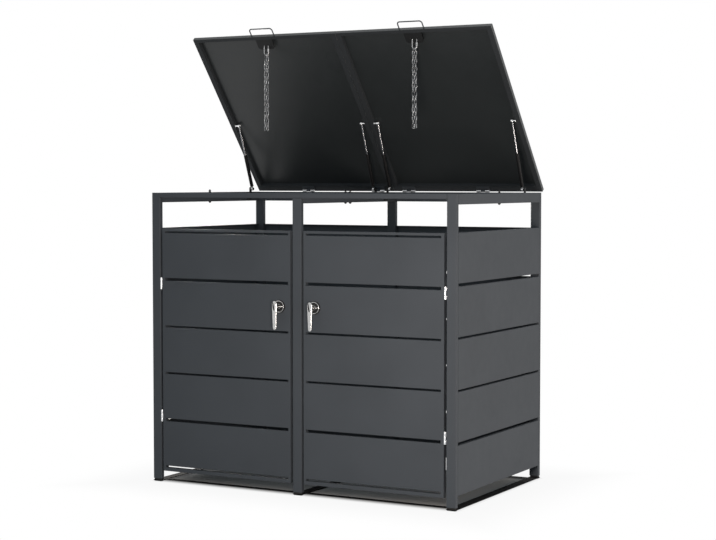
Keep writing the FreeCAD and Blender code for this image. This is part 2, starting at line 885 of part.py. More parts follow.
def quick_link():
    """Oval link of round wire whose sleeve nut closes the gap on its right-hand side."""
    half_length = (quick_link_length - quick_link_wire) / 2
    drop = half_length - quick_link_arc()
    points = [hook_point() + corner - Z_AXIS * drop for corner in oval(quick_link_arc(), half_length)]
    ring = bent_bar(points, Y_AXIS, quick_link_wire / 2, wire_sides, True)
    nut_middle = hook_point() + X_AXIS * quick_link_arc() - Z_AXIS * (drop + quick_link_nut_drop)
    half_nut = Z_AXIS * (quick_link_nut_length / 2)
    nut = hexagon_bar(nut_middle - half_nut, nut_middle + half_nut, quick_link_nut_radius)
    return fused([ring, nut])


def chain_end_reach(wire):
    """Distance from the point of a link's end to the middle of a wire of that size that bears on it."""
    half_width = (chain_link_width - chain_wire) / 2
    return wire / 2 * math.hypot(half_width, chain_end_height) / half_width


def chain_half_length():
    return (chain_pitch + chain_play) / 2 + chain_end_reach(chain_wire)


def chain_link():
    """Upright link in the XZ plane about the origin; its ends come to a blunt point."""
    half_width = (chain_link_width - chain_wire) / 2
    tip = chain_half_length()
    shoulder = tip - chain_end_height
    right = [Vector(half_width, 0, -shoulder), Vector(half_width, 0, shoulder), Vector(0, 0, tip)]
    return bent_bar(right + [-corner for corner in right], Y_AXIS, chain_wire / 2, chain_wire_sides, True)


def placed_link(link, position, lean, across):
    """A link turned a quarter about Z where it lies across the quick link, then leaned about X."""
    placed = link.copy()
    if across:
        placed.rotate(Vector(0, 0, 0), Z_AXIS, 90)
    placed.rotate(Vector(0, 0, 0), X_AXIS, lean)
    placed.translate(position)
    return placed


def long_strand(link, offset):
    """Links straight down from a place beside the middle of the quick link's lower end."""
    arc = quick_link_arc()
    outer_edge = abs(offset) + chain_wire / 2
    seat = quick_link_lower_arc() - math.sqrt((arc - quick_link_wire / 2) ** 2 - outer_edge ** 2)
    rise = chain_end_reach(quick_link_wire) - quick_link_wire / 2 + chain_play
    top = Vector(handle_middle + offset, hook_point().y, seat + rise - (chain_pitch + chain_play) / 2)
    return [placed_link(link, top - Z_AXIS * (chain_pitch * number), 0, number % 2 == 0)
            for number in range(strand_links)]


def tail(link):
    """Links from the middle of the quick link's lower end, which lean back past the long strands."""
    half_length = chain_half_length()
    bearing = chain_end_reach(chain_wire)
    wire = Vector(handle_middle, hook_point().y, quick_link_lower_arc() - quick_link_arc())
    links = []
    for number in range(tail_links):
        lean = tail_leans[number] if number < len(tail_leans) else 0
        down = Vector(0, math.sin(math.radians(lean)), -math.cos(math.radians(lean)))
        if number == 0:
            seat = chain_end_reach(quick_link_wire) + chain_seat_clearance
            centre = wire + down * (half_length - bearing - seat)
        else:
            centre = wire + down * half_length
        links.append(placed_link(link, centre, lean, number % 2 == 0))
        wire = centre + down * (half_length - 2 * bearing - chain_play - chain_bend_play)
    return links


def chain():
    """Two long strands side by side and a short tail behind them, all on the quick link."""
    link = chain_link()
    half = strand_spacing / 2
    return group(long_strand(link, -half) + long_strand(link, half) + tail(link))


def build():
    """Every node's name and shape."""
    parts = {}
    for name, x in (("left", post_width / 2 - side), ("middle", 0.0), ("right", side - post_width / 2)):
        parts["post_front_" + name] = post(x, False)
        parts["post_rear_" + name] = post(x, True)
    parts["rail_front"] = front_rail()
    parts["rail_rear"] = rear_rail()
    parts["rail_side_left"] = long_rail((-side, -side_rail_face))
    parts["rail_side_right"] = long_rail((side_rail_face, side))
    parts["rail_middle"] = long_rail((-middle_rail_face, middle_rail_face))
    parts["floor_runners"] = floor_runners()
    parts["floor_cross_strips"] = floor_cross_strips()
    parts["levelling_feet"] = levelling_feet()
    parts["lid_buffers"] = lid_buffers()
    lid_hinge_fixed, lid_hinge_moving = lid_hinges()
    door_hinge_fixed, door_hinge_moving = door_hinges()
    parts["lid_hinge_fixed_leaves"] = group([lid_hinge_fixed, mirrored(lid_hinge_fixed)])
    for name in ("left", "right"):
        parts["side_slats_" + name] = on_side(side_slats(), name)
        parts["rear_slats_" + name] = on_side(rear_slats(), name)
        parts["door_hinge_fixed_" + name] = on_side(door_hinge_fixed, name)
        parts["door_frame_" + name] = on_side(door_frame(), name)
        parts["door_slats_" + name] = on_side(door_slats(), name)
        parts["door_hinge_leaves_" + name] = on_side(door_hinge_moving, name)
        parts["lock_rosette_" + name] = on_side(lock_rosette(), name)
        parts["lock_lever_" + name] = on_side(lock_lever(), name)
        parts["lock_cam_" + name] = on_side(lock_cam(), name)
        parts["lid_cover_" + name] = opened(on_side(lid_cover(), name))
        parts["lid_edge_frame_" + name] = opened(on_side(lid_edge_frame(), name))
        parts["lid_hinge_leaves_" + name] = on_side(lid_hinge_moving, name)
        parts["bail_handle_" + name] = on_side(bail_handle(), name)
        parts["hook_tab_" + name] = on_side(hook_tab(), name)
        parts["chain_" + name] = on_side(chain(), name)
        shift = Vector(0 if name == "right" else -2 * handle_middle, 0, 0)
        link = quick_link()
        link.translate(shift)
        parts["quick_link_" + name] = link
        parts["lid_strut_studs_" + name] = group([
            lid_stud(lip_wall, face, direction)
            for place, face, direction, lip_wall in strut_places() if place.startswith(name)])
    brackets = []
    for place, face, direction, _ in strut_places():
        brackets.append(at_rail(strut_bracket(), face, direction))
        parts["strut_barrel_" + place] = at_rail(strut_barrel(), face, direction)
        parts["strut_rod_" + place] = at_rail(strut_rod(), face, direction)
    parts["strut_brackets"] = group(brackets)
    return parts


os.makedirs("parts", exist_ok=True)
for node, shape in build().items():
    shape.exportStep(os.path.join("parts", node + ".step"))
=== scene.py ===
import math

import bmesh
import bpy
from mathutils import Matrix, Vector


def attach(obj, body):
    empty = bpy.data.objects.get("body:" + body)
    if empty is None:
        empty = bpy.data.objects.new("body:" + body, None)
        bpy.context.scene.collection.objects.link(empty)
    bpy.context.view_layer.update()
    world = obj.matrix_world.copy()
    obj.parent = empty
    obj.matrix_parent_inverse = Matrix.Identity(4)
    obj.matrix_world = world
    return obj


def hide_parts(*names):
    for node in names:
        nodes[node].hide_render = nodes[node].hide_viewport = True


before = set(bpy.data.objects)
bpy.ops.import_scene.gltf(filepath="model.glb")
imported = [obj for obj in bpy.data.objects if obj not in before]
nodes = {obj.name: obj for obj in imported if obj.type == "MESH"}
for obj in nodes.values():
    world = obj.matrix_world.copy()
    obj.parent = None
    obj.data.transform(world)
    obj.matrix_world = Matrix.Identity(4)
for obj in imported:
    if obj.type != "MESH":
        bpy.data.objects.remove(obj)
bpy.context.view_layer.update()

# Shapes are worked out in millimetres and scaled to metres when they become objects.
MILLIMETRE = 0.001
SIDES = ("left", "right")
SIGN = {"left": -1, "right": 1}
scene = bpy.context.scene

# Sizes that the fitted pieces share with the solids
FRONT = -410.0
REAR = 410.0
FRAME_TOP = 1190.0
LIP_PLANE = 1202.0
LID_TOP = 1220.0
LID_REAR = 420.0
LID_AXIS = Vector((0, 412, 1196))
LID_ANGLE = -50.5
HANDLE_X = 345.0
STRUT_PIVOT = Vector((0, 301, 1203))
STRUT_UPPER = Vector((0, LID_REAR - 367, LID_TOP - 13))
X_AXIS = Vector((1, 0, 0))
Y_AXIS = Vector((0, 1, 0))
Z_AXIS = Vector((0, 0, 1))

OPENED = (Matrix.Translation(LID_AXIS) @ Matrix.Rotation(math.radians(LID_ANGLE), 4, "X")
          @ Matrix.Translation(-LID_AXIS))


# Material nodes

def new_material(name):
    """A named surface with its node tree and main shader."""
    material = bpy.data.materials.new(name)
    material.use_nodes = True
    tree = material.node_tree
    return material, tree, tree.nodes["Principled BSDF"]


def add_node(tree, kind, **inputs):
    """A node with some of its inputs set."""
    made = tree.nodes.new(kind)
    for key, value in inputs.items():
        made.inputs[key.replace("_", " ")].default_value = value
    return made


def noise(tree, scale, detail=3.0):
    """Noise that is fixed to the piece."""
    place = tree.nodes.new("ShaderNodeTexCoord")
    made = add_node(tree, "ShaderNodeTexNoise", Scale=scale, Detail=detail)
    tree.links.new(place.outputs["Object"], made.inputs["Vector"])
    return made


def ramp(tree, source, low, high, start=0.35, end=0.65):
    """Colours between two values of a texture."""
    made = tree.nodes.new("ShaderNodeValToRGB")
    made.color_ramp.elements[0].position = start
    made.color_ramp.elements[1].position = end
    made.color_ramp.elements[0].color = low
    made.color_ramp.elements[1].color = high
    tree.links.new(source, made.inputs["Fac"])
    return made


def spread(tree, source, low, high):
    """A number between two limits from a texture."""
    made = add_node(tree, "ShaderNodeMapRange")
    made.inputs["To Min"].default_value = low
    made.inputs["To Max"].default_value = high
    tree.links.new(source, made.inputs["Value"])
    return made.outputs["Result"]


def uneven_gloss(tree, shader, source, roughness, change):
    """Roughness that wanders about its value."""
    tree.links.new(spread(tree, source, roughness - change, roughness + change), shader.inputs["Roughness"])


def bump(tree, shader, source, strength, distance, edge=0.0):
    """Relief from a texture, over edges that look rounded by a radius."""
    made = add_node(tree, "ShaderNodeBump", Strength=strength, Distance=distance)
    tree.links.new(source, made.inputs["Height"])
    if edge:
        rounded = add_node(tree, "ShaderNodeBevel", Radius=edge)
        tree.links.new(rounded.outputs["Normal"], made.inputs["Normal"])
    tree.links.new(made.outputs["Normal"], shader.inputs["Normal"])


def grey(value):
    """A neutral colour."""
    return (value, value, value, 1.0)


PAINT_CLOUD_SCALE = 3.5
PAINT_GLOSS_SCALE = 26.0
PAINT_GLOSS_CHANGE = 0.06
PEEL_STRENGTH = 0.22
PEEL_DEPTH = 0.0004
EDGE_RADIUS = 0.0012


def painted(name, colour, change, roughness, specular, peel_scale=420.0):
    """Powder coat: cloudy tone, uneven gloss and the fine texture of the cured powder."""
    material, tree, shader = new_material(name)
    cloud = noise(tree, PAINT_CLOUD_SCALE)
    low = tuple(c * (1 - change) for c in colour) + (1.0,)
    high = tuple(c * (1 + change) for c in colour) + (1.0,)
    tone = ramp(tree, cloud.outputs["Fac"], low, high)
    tree.links.new(tone.outputs["Color"], shader.inputs["Base Color"])
    patch = noise(tree, PAINT_GLOSS_SCALE)
    uneven_gloss(tree, shader, patch.outputs["Fac"], roughness, PAINT_GLOSS_CHANGE)
    shader.inputs["Specular IOR Level"].default_value = specular
    peel = noise(tree, peel_scale, 2.0)
    bump(tree, shader, peel.outputs["Fac"], PEEL_STRENGTH, PEEL_DEPTH, EDGE_RADIUS)
    return material


METAL_GLOSS_SCALE = 60.0
METAL_GLOSS_CHANGE = 0.07
SCRATCH_DEPTH = 0.0002


def plated(name, low, high, roughness, grain_scale, grain_strength, mottle_scale=160.0):
    """Bare or plated metal with a faint mottle and fine scratches."""
    material, tree, shader = new_material(name)
    mottle = noise(tree, mottle_scale)
    tone = ramp(tree, mottle.outputs["Fac"], low, high)
    tree.links.new(tone.outputs["Color"], shader.inputs["Base Color"])
    shader.inputs["Metallic"].default_value = 1.0
    patch = noise(tree, METAL_GLOSS_SCALE)
    uneven_gloss(tree, shader, patch.outputs["Fac"], roughness, METAL_GLOSS_CHANGE)
    grain = noise(tree, grain_scale, 4.0)
    bump(tree, shader, grain.outputs["Fac"], grain_strength, SCRATCH_DEPTH)
    return material


PLASTIC_CLOUD_SCALE = 40.0
PLASTIC_GLOSS_CHANGE = 0.08
PLASTIC_SPECULAR = 0.3
GRAIN_STRENGTH = 0.3
GRAIN_DEPTH = 0.0004


def moulded(name, colour, roughness, scale):
    """Moulded plastic or rubber with a grained skin."""
    material, tree, shader = new_material(name)
    cloud = noise(tree, PLASTIC_CLOUD_SCALE)
    tone = ramp(tree, cloud.outputs["Fac"], grey(colour * 0.8), grey(colour * 1.25))
    tree.links.new(tone.outputs["Color"], shader.inputs["Base Color"])
    uneven_gloss(tree, shader, cloud.outputs["Fac"], roughness, PLASTIC_GLOSS_CHANGE)
    shader.inputs["Specular IOR Level"].default_value = PLASTIC_SPECULAR
    grain = noise(tree, scale, 2.0)
    bump(tree, shader, grain.outputs["Fac"], GRAIN_STRENGTH, GRAIN_DEPTH)
    return material


ANTHRACITE = painted("anthracite_powder_coat", (0.0560, 0.0627, 0.0715), 0.05, 0.5, 0.12)
# The lids' edge frame and sheet are the anthracite coat made darker: painted shade on the lids.
LID_EDGE_PAINTED_SHADE = painted("lid_edge_coat_painted_shade", (0.0330, 0.0370, 0.0410), 0.05, 0.5, 0.12)
LID_SHEET_PAINTED_SHADE = painted("lid_sheet_coat_painted_shade", (0.0225, 0.0262, 0.0280), 0.05, 0.36, 0.4)
# The floor runners and strips are coloured near black, far darker than the frame's coat: painted shade under
# the store.
FLOOR_STEEL_PAINTED_SHADE = painted("floor_steel_painted_shade", (0.006, 0.006, 0.0065), 0.15, 0.8, 0.06)
BLACK_STEEL = painted("black_painted_steel", (0.010, 0.0108, 0.0115), 0.12, 0.5, 0.2)
STRUT_BLACK = painted("strut_black_enamel", (0.006, 0.0063, 0.007), 0.1, 0.42, 0.12, 700.0)
# Black plastic of the feet; the same near-black also serves as painted shade on the lock rosettes' dished
# plates.
BLACK_PLASTIC_AND_PAINTED_SHADE = moulded("foot_plastic_and_painted_shade", 0.008, 0.7, 900.0)
RUBBER = moulded("buffer_rubber", 0.014, 0.8, 600.0)
ZINC = plated("bright_zinc_plate", (0.58, 0.59, 0.60, 1.0), (0.74, 0.75, 0.77, 1.0), 0.3, 900.0, 0.15)
CHAIN_STEEL = plated("chain_zinc", (0.07, 0.072, 0.075, 1.0), (0.46, 0.47, 0.48, 1.0), 0.3, 700.0, 0.25,
                     mottle_scale=85.0)
LOCK_METAL = plated("satin_nickel", (0.43, 0.43, 0.425, 1.0), (0.56, 0.555, 0.55, 1.0), 0.24, 500.0, 0.1)
LINK_STEEL = plated("quick_link_zinc", (0.28, 0.285, 0.29, 1.0), (0.50, 0.505, 0.51, 1.0), 0.28, 700.0, 0.2)
CHROME = plated("rod_chrome", (0.33, 0.34, 0.36, 1.0), (0.42, 0.43, 0.45, 1.0), 0.26, 1200.0, 0.05)
EYE_ZINC = plated("strut_eye_zinc", (0.78, 0.79, 0.80, 1.0), (0.90, 0.91, 0.92, 1.0), 0.24, 900.0, 0.1)
# Near-black for thin pieces that stand for shade: painted shade in the screw recesses and on the lever
# heads.
PAINTED_SHADE_BLACK = moulded("recess_and_facet_painted_shade", 0.003, 0.8, 900.0)


# Mesh helpers, in millimetres

def to_object(name, mesh_data, material, body, stands_for=(), sharp=38.0):
    """A finished piece from its faces: scaled, smooth-shaded, painted and riding its body."""
    bmesh.ops.recalc_face_normals(mesh_data, faces=mesh_data.faces)
    mesh = bpy.data.meshes.new(name)
    mesh_data.to_mesh(mesh)
    mesh_data.free()
    mesh.transform(Matrix.Scale(MILLIMETRE, 4))
    mesh.shade_smooth()
    mesh.set_sharp_from_angle(angle=math.radians(sharp))
    mesh.materials.append(material)
    piece = bpy.data.objects.new(name, mesh)
    scene.collection.objects.link(piece)
    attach(piece, body)
    if stands_for:
        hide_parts(*stands_for)


def add_rings(target, rings, closed):
    """Skin over rings of points; a closed one joins its last ring to its first."""
    made = [[target.verts.new(point) for point in ring] for ring in rings]
    count, corners = len(made), len(made[0])
    for index in range(count if closed else count - 1):
        here, there = made[index], made[(index + 1) % count]
        for corner in range(corners):
            other = (corner + 1) % corners
            target.faces.new((here[corner], here[other], there[other], there[corner]))
    if not closed:
        target.faces.new(made[0])
        target.faces.new(list(reversed(made[-1])))


def eased(profile, radius, loop=False, steps=3):
    """A profile whose corners are rounded by short curves."""
    points = [Vector(pair) for pair in profile]
    count = len(points)
    out = []
    for index, point in enumerate(points):
        if not loop and index in (0, count - 1):
            out.append(tuple(point))
            continue
        before, after = points[index - 1], points[(index + 1) % count]
        near = min(radius, (before - point).length * 0.45)
        far = min(radius, (after - point).length * 0.45)
        start = point + (before - point).normalized() * near
        end = point + (after - point).normalized() * far
        for step in range(steps + 1):
            t = step / steps
            out.append(tuple(start * (1 - t) ** 2 + point * (2 * t * (1 - t)) + end * t ** 2))
    return out


def add_turned(target, start, axis, profile, sides=40, loop=False):
    """Turning from distances along an axis and radii; a looped profile leaves a bore."""
    axis = axis.normalized()
    across = X_AXIS if abs(axis.dot(Z_AXIS)) > 0.5 else Z_AXIS
    across = (across - axis * across.dot(axis)).normalized()
    third = axis.cross(across)
    rings = []
    for distance, radius in profile:
        turns = [2 * math.pi * (corner + 0.5) / sides for corner in range(sides)]
        rings.append([start + axis * distance + (across * math.cos(t) + third * math.sin(t)) * radius
                      for t in turns])
    add_rings(target, rings, loop)


def add_nut(target, start, axis, radius, height, chamfer=0.6):
    """Hexagon nut with chamfered corners."""
    profile = [(0, radius - chamfer), (chamfer * 0.5, radius), (height - chamfer * 0.5, radius),
               (height, radius - chamfer)]
    add_turned(target, start, axis, profile, 6)


def add_swept(target, path, normal, radius, sides, closed):
    """Round wire along a flat path."""
    count = len(path)
    rings = []
    for index, point in enumerate(path):
        before = path[index - 1] if closed or index else point
        after = path[(index + 1) % count] if closed or index < count - 1 else point
        outward = normal.cross((after - before).normalized())
        turns = [2 * math.pi * corner / sides for corner in range(sides)]
        rings.append([point + (outward * math.cos(t) + normal * math.sin(t)) * radius for t in turns])
    add_rings(target, rings, closed)


def join(target, part, matrix=None):
    """Adds a part to a piece, first moved by a matrix."""
    if matrix is not None:
        part.transform(matrix)
    shared = bpy.data.meshes.new("joining")
    part.to_mesh(shared)
    part.free()
    target.from_mesh(shared)
    bpy.data.meshes.remove(shared)


def add_box(target, x, y, z, edge=0.4):
    """Box between limits with rounded edges."""
    part = bmesh.new()
    size = Matrix.Diagonal((abs(x[1] - x[0]), abs(y[1] - y[0]), abs(z[1] - z[0]), 1))
    middle = Matrix.Translation(((x[0] + x[1]) / 2, (y[0] + y[1]) / 2, (z[0] + z[1]) / 2))
    bmesh.ops.create_cube(part, size=1, matrix=middle @ size)
    bmesh.ops.bevel(part, geom=part.edges[:], offset=edge, segments=2, profile=0.5, affect="EDGES")
    join(target, part)


def oval_path(half_width, half_length, steps):
    """Oval in the XZ plane with half-round ends."""
    points = []
    rise = half_length - half_width
    for end in (1, -1):
        for step in range(steps + 1):
            angle = math.pi * step / steps + (0 if end > 0 else math.pi)
            points.append(Vector((half_width * math.cos(angle), 0,
                                  half_width * math.sin(angle) + rise * end)))
    return points


def mirrored(side):
    """Right-hand shapes stay; left-hand ones are their mirror image."""
    return Matrix.Identity(4) if side == "right" else Matrix.Scale(-1, 4, X_AXIS)


# Quick links and chains

LINK_WIDTH = 24.5
LINK_LENGTH = 49.5
LINK_WIRE = 4.5
LINK_NUT_LENGTH = 14.0
LINK_NUT_BELOW = 11.0
LINK_NUT_RADIUS = 4.6
LINK_THREADS = 5
LINK_THREAD = [(0, 2.1), (0.4, 2.45), (0.8, 2.1)]
LINK_THREAD_PITCH = 1.0
CHAIN_WIRE = 2.8
CHAIN_WIDTH = 11.0
CHAIN_PITCH = 16.0
CHAIN_PLAY = 0.3
WELD = [(0, 1.3), (0.5, 1.55), (1.3, 1.55), (1.8, 1.3)]
STRAND_SPACING = 11.5
STRAND_LINKS = 20
TAIL_LINKS = 9
TAIL_LEANS = (38.0, 6.0)
HOOK = OPENED @ Vector((0, FRONT + 50.0, LIP_PLANE + 1.25))
LINK_ARC = (LINK_WIDTH - LINK_WIRE) / 2
LOWER_ARC = HOOK.z - (LINK_LENGTH - LINK_WIRE - 2 * LINK_ARC)


def quick_link(side):
    """Oval wire link with a long nut on one leg and the thread that shows above it."""
    half_length = (LINK_LENGTH - LINK_WIRE) / 2
    drop = half_length - LINK_ARC
    hook = HOOK + X_AXIS * HANDLE_X * SIGN[side]
    made = bmesh.new()
    path = [hook + point - Z_AXIS * drop for point in oval_path(LINK_ARC, half_length, 12)]
    add_swept(made, path, Y_AXIS, LINK_WIRE / 2, 14, True)
    nut = hook + X_AXIS * LINK_ARC - Z_AXIS * (drop + LINK_NUT_BELOW)
    add_nut(made, nut, Z_AXIS, LINK_NUT_RADIUS, LINK_NUT_LENGTH, 0.8)
    for ridge in range(LINK_THREADS):
        at = nut + Z_AXIS * (LINK_NUT_LENGTH + 0.5 + ridge * LINK_THREAD_PITCH)
        add_turned(made, at, Z_AXIS, LINK_THREAD, 16)
    to_object("quick_link_wire_" + side, made, LINK_STEEL, "hanger_" + side,
              ["quick_link_" + side])


def chain_link():
    """One welded link: the wire thickens at the weld in the middle of one side."""
    half_width = (CHAIN_WIDTH - CHAIN_WIRE) / 2
    half_length = (CHAIN_PITCH + CHAIN_PLAY + CHAIN_WIRE) / 2
    made = bmesh.new()
    path = oval_path(half_width, half_length, 6)
    add_swept(made, path, Y_AXIS, CHAIN_WIRE / 2 * 0.98, 8, True)
    add_turned(made, Vector((half_width, 0, -WELD[-1][0] / 2)), Z_AXIS, WELD, 8)
    return made


def chain_places():
    """Where each link's middle lies, how far it leans and whether it is turned across."""
    places = []
    outer_edge = STRAND_SPACING / 2 + CHAIN_WIRE / 2
    seat = LOWER_ARC - math.sqrt((LINK_ARC - LINK_WIRE / 2) ** 2 - outer_edge ** 2)
    top = seat + CHAIN_PLAY - (CHAIN_PITCH + CHAIN_PLAY) / 2
    for offset in (-STRAND_SPACING / 2, STRAND_SPACING / 2):
        for number in range(STRAND_LINKS):
            places.append((Vector((offset, HOOK.y, top - CHAIN_PITCH * number)), 0, number % 2 == 0))
    inner = CHAIN_WIDTH / 2 - CHAIN_WIRE
    half_length = (CHAIN_PITCH + CHAIN_PLAY + CHAIN_WIRE) / 2
    wire = Vector((0, HOOK.y, LOWER_ARC - LINK_ARC))
    for number in range(TAIL_LINKS):
        lean = TAIL_LEANS[number] if number < len(TAIL_LEANS) else 0
        down = Vector((0, math.sin(math.radians(lean)), -math.cos(math.radians(lean))))
        reach = half_length - CHAIN_WIRE / 2 - inner if number == 0 else half_length
        centre = wire + down * reach
        places.append((centre, lean, number % 2 == 0))
        wire = centre + down * (half_length - CHAIN_WIRE - CHAIN_PLAY)
    return places


def chain(side):
    """Two strands and a short tail of interlocking links."""
    made = bmesh.new()
    for centre, lean, across in chain_places():
        spot = Matrix.Translation(centre + X_AXIS * HANDLE_X * SIGN[side])
        turn = Matrix.Rotation(math.radians(90 if across else 0), 4, "Z")
        join(made, chain_link(), spot @ Matrix.Rotation(math.radians(lean), 4, "X") @ turn)
    to_object("chain_links_" + side, made, CHAIN_STEEL, "hanger_" + side,
              ["chain_" + side], 60.0)


# Handle on each lid's front edge

BAIL_RADIUS = 2.5
BAIL_HALF_WIDTH = 54.0
BAIL_REACH = FRONT - 37.0 + BAIL_RADIUS
BAIL_CORNER = 11.0
BAIL_Z = LID_TOP - 11.0
CORNER_STEPS = 8


def lift_handle(side):
    """Round bar bent to a flat bracket."""
    half, corner = BAIL_HALF_WIDTH, BAIL_CORNER
    right = [(half, FRONT), (half, BAIL_REACH + corner)]
    for step in range(1, CORNER_STEPS):
        angle = math.pi / 2 * step / CORNER_STEPS
        right.append((half - corner + corner * math.cos(angle),
                      BAIL_REACH + corner - corner * math.sin(angle)))
    right.append((half - corner, BAIL_REACH))
    outline = right + [(-x, y) for x, y in reversed(right)]
    path = [OPENED @ Vector((SIGN[side] * HANDLE_X + x, y, BAIL_Z)) for x, y in outline]
    made = bmesh.new()
    normal = (OPENED.to_3x3() @ Z_AXIS).normalized()
    add_swept(made, path, normal, BAIL_RADIUS, 16, False)
    to_object("lift_handle_" + side, made, ANTHRACITE, "lid_" + side,
              ["bail_handle_" + side])


# Gas struts: profiles are distances along an axis and radii

STRUTS = {"left_outer": (-670.0, 1), "left_inner": (-20.0, -1),
          "right_inner": (20.0, 1), "right_outer": (670.0, -1)}
FROM_RAIL = 19.0
EYE_WIDTH = 8.0
EYE = [(0, 4.1), (0, 7), (EYE_WIDTH, 7), (EYE_WIDTH, 4.1)]
CYLINDER = [(12, 3.4), (12, 7.5), (158, 7.5), (158, 3.2), (144, 3.2), (144, 6.0)]
EYE_SHANK = [(0, 3.3), (8, 3.3)]
SHANK_START = 5.5
ROD_RADIUS = 3.0
PISTON_RADIUS = 5.4
PISTON_LENGTH = 8
ROD_LENGTH = 228.0
STUD_GAP = 0.5
STUD_WALLS = {"outer": 668.5, "inner": 22.0}
STUD_RADIUS = 4
FLANGE_RADIUS = 6
FLANGE_THICKNESS = 2


def strut(place):
    """Cylinder and lower eye, rod with its piston, and upper eye."""
    face, inboard = STRUTS[place]
    upper = OPENED @ STRUT_UPPER
    x = face + inboard * FROM_RAIL
    foot = Vector((x, STRUT_PIVOT.y, STRUT_PIVOT.z))
    head = Vector((x, upper.y, upper.z))
    along = (head - foot).normalized()
    length = (head - foot).length
    half_eye = X_AXIS * EYE_WIDTH / 2
    cylinder = bmesh.new()
    add_turned(cylinder, foot, along, eased(CYLINDER, 0.9, True), 40, True)
    to_object("strut_cylinder_" + place, cylinder, STRUT_BLACK, "barrel_" + place,
              ["strut_barrel_" + place])
    lower = bmesh.new()
    add_turned(lower, foot + along * SHANK_START, along, EYE_SHANK, 20)
    add_turned(lower, foot - half_eye, X_AXIS, eased(EYE, 0.6, True), 32, True)
    to_object("strut_lower_eye_" + place, lower, ZINC, "barrel_" + place,
              ["strut_barrel_" + place])
    rod = bmesh.new()
    inner = length - ROD_LENGTH
    piston_end = inner + PISTON_LENGTH
    add_turned(rod, foot, along, [(inner, PISTON_RADIUS), (piston_end, PISTON_RADIUS),
                                  (piston_end, ROD_RADIUS), (length - SHANK_START, ROD_RADIUS)], 28)
    to_object("strut_piston_rod_" + place, rod, CHROME, "rod_" + place,
              ["strut_rod_" + place])
    top_eye = bmesh.new()
    add_turned(top_eye, head - half_eye, X_AXIS, eased(EYE, 1.6, True), 32, True)
    to_object("strut_upper_eye_" + place, top_eye, EYE_ZINC, "rod_" + place,
              ["strut_rod_" + place])


def lid_studs(side):
    """Stud beside each strut's upper eye, on the wall of the lid's rim."""
    made = bmesh.new()
    for end_name in ("outer", "inner"):
        face, inboard = STRUTS[side + "_" + end_name]
        wall = SIGN[side] * STUD_WALLS[end_name]
        end = face + inboard * (FROM_RAIL - EYE_WIDTH / 2 - STUD_GAP)
        span = abs(end - wall)
        at = OPENED @ Vector((wall, STRUT_UPPER.y, STRUT_UPPER.z))
        profile = [(0, 0.5), (0, FLANGE_RADIUS), (FLANGE_THICKNESS, FLANGE_RADIUS),
                   (FLANGE_THICKNESS, STUD_RADIUS), (span, STUD_RADIUS), (span, 0.5)]
        add_turned(made, at, X_AXIS * inboard, eased(profile, 0.5), 28)
    to_object("lid_strut_stud_pins_" + side, made, EYE_ZINC, "lid_" + side,
              ["lid_strut_studs_" + side])


# Butt hinges

KNUCKLE = 4.5
PIN = 2.5
LEAF = 1.5
POST_EDGE = 650
DOOR_EDGE = 640
DOOR_HINGE_X = 645
DOOR_HINGE_HEIGHTS = (274.0, 819.0)
DOOR_HINGE_HALF = 24
DOOR_KNUCKLE_HALF = 7.8
DOOR_HINGE_ENDS = ((-DOOR_HINGE_HALF, -8.2), (8.2, DOOR_HINGE_HALF))
LEAF_DEPTH = (FRONT, FRONT + 18)
LEAF_BEHIND_KNUCKLE = (FRONT + 5.5, FRONT + 18)
LEAF_FACE = (FRONT - 0.2, FRONT + 1.3)
LID_HINGE_PLACES = (75.0, 425.0)
LID_HINGE_HALF = 30
LID_KNUCKLE_HALF = 9.8
LID_HINGE_ENDS = ((-LID_HINGE_HALF, -10.2), (10.2, LID_HINGE_HALF))
LID_LEAF = (LIP_PLANE - 2.0, LIP_PLANE)
LID_LEAF_TO_KNUCKLE = (393.0, 418.0)
LID_LEAF_WING = (393.0, 406.5)
LID_LEAF_WINGS = ((-LID_HINGE_HALF, -9.0), (9.0, LID_HINGE_HALF))
RAIL_LEAF_FOOT = 1156.0
SCREW_OFFSET = 19
SCREW_HEIGHT = 1173.0
RECESS_LONG = 1.8
RECESS_SHORT = 0.45


def add_knuckle(target, start, axis, length):
    """Rolled part of a leaf, with a bore for the pin."""
    profile = eased([(0, PIN + 0.05), (0, KNUCKLE), (length, KNUCKLE), (length, PIN + 0.05)], 0.5, True)
    add_turned(target, start, axis, profile, 28, True)


def add_pin(target, start, axis, length):
    """Hinge pin with eased ends."""
    profile = eased([(0, 0.3), (0, PIN), (length, PIN), (length, 0.3)], 0.5)
    add_turned(target, start, axis, profile, 24)


